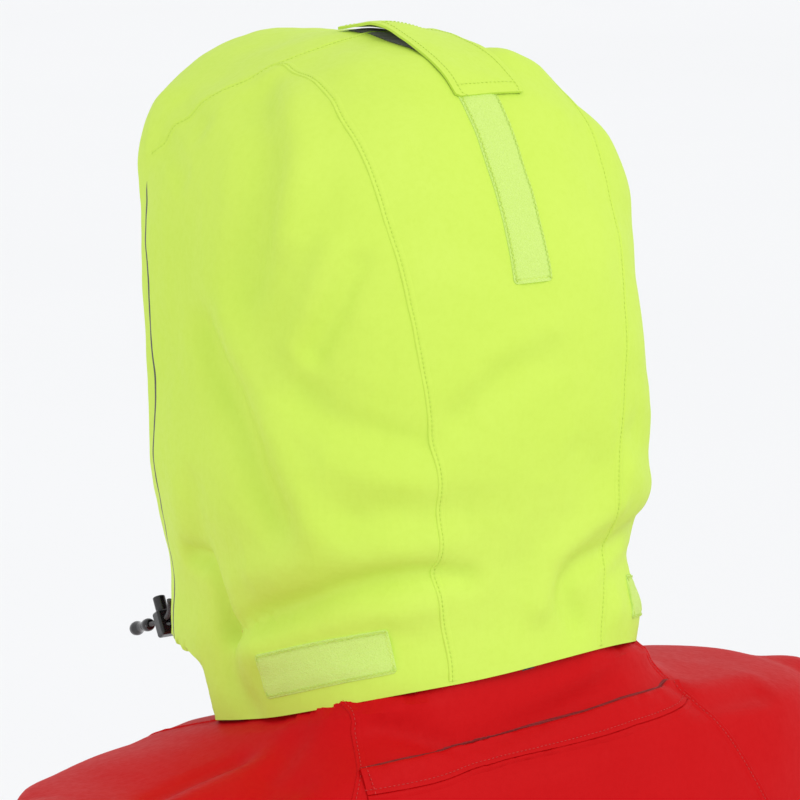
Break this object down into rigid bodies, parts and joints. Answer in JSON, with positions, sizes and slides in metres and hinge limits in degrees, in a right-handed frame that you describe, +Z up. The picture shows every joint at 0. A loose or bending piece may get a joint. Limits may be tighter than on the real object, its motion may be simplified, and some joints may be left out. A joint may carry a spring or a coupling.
{
  "type": "foul weather jacket",
  "caption": "Hooded foul weather jacket with raglan shoulders, raised adjustable hood, cord locks, front zip under a storm flap, patch pockets and cuff tabs.",
  "frame": {"origin": "centre of the wearer's neck at the height of the nape seam", "axes": "+Z up, -Y the way the wearer faces, +X the wearer's left"},
  "size_m": [1.1012, 0.3055, 1.1342],
  "materials": {
    "shell_red": "coated weave",
    "hood_yellow": "coated weave",
    "loop_tape": "coated weave",
    "lining_dark": "coated weave",
    "fleece": "coated weave",
    "silver_band": "reflective film",
    "zip_plastic": "moulded",
    "zip_tape": "woven tape",
    "zip_metal": "black enamel",
    "lock_plastic": "moulded",
    "cord_black": "braided elastic",
    "end_plastic": "polished"
  },
  "bodies": {
    "jacket": {"back_yoke": "shell_red", "back_panel": "shell_red", "back_welt": "shell_red", "front_left": "shell_red", "front_right": "shell_red", "shoulder_left": "shell_red", "shoulder_right": "shell_red", "hem_band": "shell_red", "collar_back": "shell_red", "collar_left": "shell_red", "collar_right": "shell_red", "storm_flap_root": "shell_red", "pocket_left": "shell_red", "pocket_right": "shell_red", "hood_center": "hood_yellow", "hood_left": "hood_yellow", "hood_right": "hood_yellow", "hood_visor": "hood_yellow", "hood_facing": "hood_yellow", "hood_loop_strip": "loop_tape", "hood_patch_left": "loop_tape", "hood_patch_right": "loop_tape", "lining": "lining_dark", "collar_lining": "fleece", "hang_loop": "lining_dark", "zip_tape_left": "zip_tape", "zip_tape_right": "zip_tape", "zip_teeth_left": "zip_plastic", "zip_teeth_right": "zip_plastic", "zip_box": "zip_plastic", "hood_cord_left": "cord_black", "hood_cord_right": "cord_black", "cord_end_left": "end_plastic", "cord_end_right": "end_plastic"},
    "slider": {"zip_slider": "zip_metal"},
    "pull": {"zip_pull": "zip_metal"},
    "storm_flap": {"storm_flap": "shell_red"},
    "hood_tab": {"hood_tab": "hood_yellow"},
    "sleeve_left": {"sleeve_left": "shell_red", "sleeve_band_left": "silver_band", "cuff_left": "shell_red"},
    "cuff_tab_left": {"cuff_tab_left": "shell_red"},
    "pocket_flap_left": {"pocket_flap_left": "shell_red"},
    "cord_lock_left": {"cord_lock_left": "lock_plastic"},
    "lock_button_left": {"lock_button_left": "lock_plastic"},
    "sleeve_right": {"sleeve_right": "shell_red", "sleeve_band_right": "silver_band", "cuff_right": "shell_red"},
    "cuff_tab_right": {"cuff_tab_right": "shell_red"},
    "pocket_flap_right": {"pocket_flap_right": "shell_red"},
    "cord_lock_right": {"cord_lock_right": "lock_plastic"},
    "lock_button_right": {"lock_button_right": "lock_plastic"}
  },
  "joints": [
    {"name": "zip_slide", "type": "slide", "parent": "jacket", "child": "slider", "axis": [0, -0.0646, -0.9979], "range_m": [0, 0.77]},
    {"name": "zip_pull_swing", "type": "hinge", "parent": "slider", "child": "pull", "pos_m": [0, -0.10228, 0.01061], "axis": [-1, 0, 0], "range_deg": [0, 120]},
    {"name": "storm_flap_hinge", "type": "hinge", "parent": "jacket", "child": "storm_flap", "pos_m": [0.04, -0.13422, -0.42273], "axis": [0, 0.0646, 0.9979], "range_deg": [0, 120]},
    {"name": "hood_tab_hinge", "type": "hinge", "parent": "jacket", "child": "hood_tab", "pos_m": [0, -0.034, 0.3336], "axis": [1, 0, 0], "range_deg": [0, 60]},
    {"name": "sleeve_left_lift", "type": "hinge", "parent": "jacket", "child": "sleeve_left", "pos_m": [0.238, 0.006, -0.057], "axis": [0, -1, 0], "range_deg": [0, 45]},
    {"name": "cuff_tab_left_hinge", "type": "hinge", "parent": "sleeve_left", "child": "cuff_tab_left", "pos_m": [0.50347, 0.05318, -0.64742], "axis": [-0.4226, 0, 0.9063], "range_deg": [0, 90]},
    {"name": "pocket_flap_left_hinge", "type": "hinge", "parent": "jacket", "child": "pocket_flap_left", "pos_m": [0.128, -0.137, -0.5445], "axis": [-0.9637, -0.267, 0], "range_deg": [0, 95]},
    {"name": "cord_lock_left_slide", "type": "slide", "parent": "jacket", "child": "cord_lock_left", "axis": [-0.1103, -0.9614, -0.2522], "range_m": [0, 0.012]},
    {"name": "lock_button_left_press", "type": "slide", "parent": "cord_lock_left", "child": "lock_button_left", "axis": [0.0304, 0.5089, -0.8603], "range_m": [0, 0.003], "stiffness_N_per_m": 600},
    {"name": "sleeve_right_lift", "type": "hinge", "parent": "jacket", "child": "sleeve_right", "pos_m": [-0.238, 0.006, -0.057], "axis": [0, 1, 0], "range_deg": [0, 45]},
    {"name": "cuff_tab_right_hinge", "type": "hinge", "parent": "sleeve_right", "child": "cuff_tab_right", "pos_m": [-0.50347, 0.05318, -0.64742], "axis": [-0.4226, 0, -0.9063], "range_deg": [0, 90]},
    {"name": "pocket_flap_right_hinge", "type": "hinge", "parent": "jacket", "child": "pocket_flap_right", "pos_m": [-0.128, -0.137, -0.5445], "axis": [-0.9637, 0.267, 0], "range_deg": [0, 95]},
    {"name": "cord_lock_right_slide", "type": "slide", "parent": "jacket", "child": "cord_lock_right", "axis": [0.1103, -0.9614, -0.2522], "range_m": [0, 0.012]},
    {"name": "lock_button_right_press", "type": "slide", "parent": "cord_lock_right", "child": "lock_button_right", "axis": [-0.0304, 0.5089, -0.8603], "range_m": [0, 0.003], "stiffness_N_per_m": 600}
  ]
}
